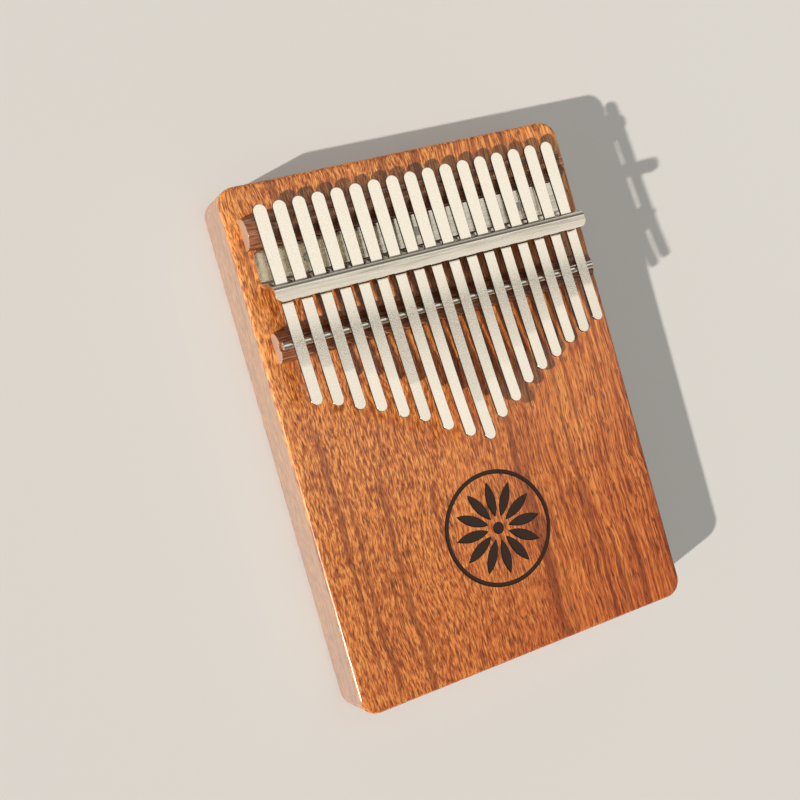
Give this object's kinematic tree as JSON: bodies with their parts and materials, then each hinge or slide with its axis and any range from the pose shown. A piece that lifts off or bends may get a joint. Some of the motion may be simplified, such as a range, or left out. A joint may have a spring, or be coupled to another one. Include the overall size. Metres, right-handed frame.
{
  "type": "board kalimba",
  "caption": "Flat-board thumb piano: a rounded hardwood plank with round-ended steel tines in a V, held by a slotted Z bracket over a rear bridge and a front bridge with a steel rod.",
  "frame": {"origin": "centre of the board's flat back, on the surface it lies on", "axes": "+Z out of the playing face, +Y along the board to the tines' fixed ends, +X to the right seen from the front"},
  "size_m": [0.134, 0.186, 0.0376],
  "materials": {
    "lacquered_mahogany": "satin lacquer",
    "bridge_wood": "satin lacquer",
    "dark_stud": "satin",
    "chromed_rod": "polished",
    "polished_steel": "polished",
    "zinc_screw": "zinc plated",
    "spring_steel_tine": "fine satin"
  },
  "bodies": {
    "frame": {"board": "lacquered_mahogany", "strap_stud": "dark_stud", "rear_bridge": "bridge_wood", "front_bridge": "bridge_wood", "bridge_rod": "chromed_rod", "bracket": "polished_steel", "bracket_screws": "zinc_screw", "bracket_washers": "zinc_screw"},
    "key_01": {"tine_01": "spring_steel_tine"},
    "key_02": {"tine_02": "spring_steel_tine"},
    "key_03": {"tine_03": "spring_steel_tine"},
    "key_04": {"tine_04": "spring_steel_tine"},
    "key_05": {"tine_05": "spring_steel_tine"},
    "key_06": {"tine_06": "spring_steel_tine"},
    "key_07": {"tine_07": "spring_steel_tine"},
    "key_08": {"tine_08": "spring_steel_tine"},
    "key_09": {"tine_09": "spring_steel_tine"},
    "key_10": {"tine_10": "spring_steel_tine"},
    "key_11": {"tine_11": "spring_steel_tine"},
    "key_12": {"tine_12": "spring_steel_tine"},
    "key_13": {"tine_13": "spring_steel_tine"},
    "key_14": {"tine_14": "spring_steel_tine"},
    "key_15": {"tine_15": "spring_steel_tine"},
    "key_16": {"tine_16": "spring_steel_tine"},
    "key_17": {"tine_17": "spring_steel_tine"}
  },
  "joints": [
    {"name": "pluck_01", "type": "hinge", "parent": "frame", "child": "key_01", "pos_m": [-0.056, 0.036, 0.0296], "axis": [1, 0, 0], "range_deg": [0, 1.5], "stiffness_Nm_per_rad": 3},
    {"name": "pluck_02", "type": "hinge", "parent": "frame", "child": "key_02", "pos_m": [-0.049, 0.036, 0.0296], "axis": [1, 0, 0], "range_deg": [0, 1.5], "stiffness_Nm_per_rad": 3},
    {"name": "pluck_03", "type": "hinge", "parent": "frame", "child": "key_03", "pos_m": [-0.042, 0.036, 0.0296], "axis": [1, 0, 0], "range_deg": [0, 1.5], "stiffness_Nm_per_rad": 3},
    {"name": "pluck_04", "type": "hinge", "parent": "frame", "child": "key_04", "pos_m": [-0.035, 0.036, 0.0296], "axis": [1, 0, 0], "range_deg": [0, 1.5], "stiffness_Nm_per_rad": 3},
    {"name": "pluck_05", "type": "hinge", "parent": "frame", "child": "key_05", "pos_m": [-0.028, 0.036, 0.0296], "axis": [1, 0, 0], "range_deg": [0, 1.5], "stiffness_Nm_per_rad": 3},
    {"name": "pluck_06", "type": "hinge", "parent": "frame", "child": "key_06", "pos_m": [-0.021, 0.036, 0.0296], "axis": [1, 0, 0], "range_deg": [0, 1.5], "stiffness_Nm_per_rad": 3},
    {"name": "pluck_07", "type": "hinge", "parent": "frame", "child": "key_07", "pos_m": [-0.014, 0.036, 0.0296], "axis": [1, 0, 0], "range_deg": [0, 1.5], "stiffness_Nm_per_rad": 3},
    {"name": "pluck_08", "type": "hinge", "parent": "frame", "child": "key_08", "pos_m": [-0.007, 0.036, 0.0296], "axis": [1, 0, 0], "range_deg": [0, 1.5], "stiffness_Nm_per_rad": 3},
    {"name": "pluck_09", "type": "hinge", "parent": "frame", "child": "key_09", "pos_m": [0, 0.036, 0.0296], "axis": [1, 0, 0], "range_deg": [0, 1.5], "stiffness_Nm_per_rad": 3},
    {"name": "pluck_10", "type": "hinge", "parent": "frame", "child": "key_10", "pos_m": [0.007, 0.036, 0.0296], "axis": [1, 0, 0], "range_deg": [0, 1.5], "stiffness_Nm_per_rad": 3},
    {"name": "pluck_11", "type": "hinge", "parent": "frame", "child": "key_11", "pos_m": [0.014, 0.036, 0.0296], "axis": [1, 0, 0], "range_deg": [0, 1.5], "stiffness_Nm_per_rad": 3},
    {"name": "pluck_12", "type": "hinge", "parent": "frame", "child": "key_12", "pos_m": [0.021, 0.036, 0.0296], "axis": [1, 0, 0], "range_deg": [0, 1.5], "stiffness_Nm_per_rad": 3},
    {"name": "pluck_13", "type": "hinge", "parent": "frame", "child": "key_13", "pos_m": [0.028, 0.036, 0.0296], "axis": [1, 0, 0], "range_deg": [0, 1.5], "stiffness_Nm_per_rad": 3},
    {"name": "pluck_14", "type": "hinge", "parent": "frame", "child": "key_14", "pos_m": [0.035, 0.036, 0.0296], "axis": [1, 0, 0], "range_deg": [0, 1.5], "stiffness_Nm_per_rad": 3},
    {"name": "pluck_15", "type": "hinge", "parent": "frame", "child": "key_15", "pos_m": [0.042, 0.036, 0.0296], "axis": [1, 0, 0], "range_deg": [0, 1.5], "stiffness_Nm_per_rad": 3},
    {"name": "pluck_16", "type": "hinge", "parent": "frame", "child": "key_16", "pos_m": [0.049, 0.036, 0.0296], "axis": [1, 0, 0], "range_deg": [0, 1.5], "stiffness_Nm_per_rad": 3},
    {"name": "pluck_17", "type": "hinge", "parent": "frame", "child": "key_17", "pos_m": [0.056, 0.036, 0.0296], "axis": [1, 0, 0], "range_deg": [0, 1.5], "stiffness_Nm_per_rad": 3}
  ]
}
